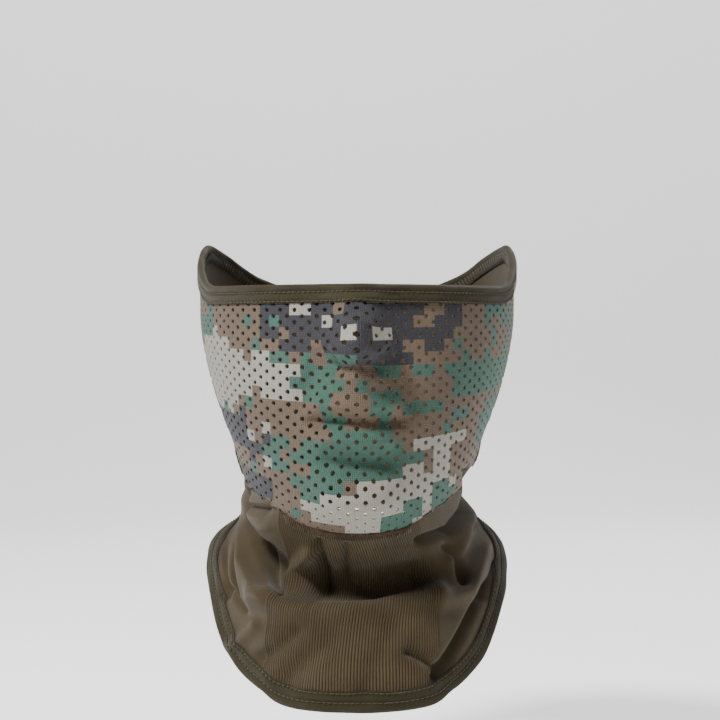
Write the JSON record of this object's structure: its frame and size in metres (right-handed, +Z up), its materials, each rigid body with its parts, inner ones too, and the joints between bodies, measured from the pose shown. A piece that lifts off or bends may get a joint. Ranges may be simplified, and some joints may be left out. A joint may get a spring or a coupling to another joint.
{
  "type": "half-face mask with neck gaiter",
  "caption": "Worn half-face mask of perforated camouflage mesh from nose to chin, joined to a ribbed and plain olive neck gaiter, with folded bindings at both openings.",
  "frame": {"origin": "midway between the wearer's ear canals", "axes": "+Z up, the wearer faces -Y, +X to the wearer's left"},
  "size_m": [0.1622, 0.2129, 0.2221],
  "materials": {
    "camo_mesh": "matt perforated sports mesh in four-colour block camouflage",
    "rib_knit": "matt rib knit",
    "olive_jersey": "smooth brushed knit",
    "olive_tape": "folded knit tape",
    "hem_tape": "folded knit tape",
    "elastic": "covered elastic cord",
    "thread": "spun polyester thread",
    "seam_thread": "textured polyester thread"
  },
  "bodies": {
    "root": {"face_mesh_panel": "camo_mesh", "rib_front_panel": "rib_knit", "left_side_panel": "olive_jersey", "right_side_panel": "olive_jersey", "top_binding": "olive_tape", "hem_binding": "hem_tape", "top_edge_elastic": "elastic", "top_needle_threads": "thread", "top_looper_thread": "thread", "hem_needle_threads": "thread", "hem_looper_thread": "thread", "left_jaw_seam_thread": "thread", "right_jaw_seam_thread": "thread", "chin_seam_thread": "seam_thread", "left_rib_seam_thread": "thread", "right_rib_seam_thread": "thread", "back_seam_thread": "thread"}
  },
  "joints": []
}
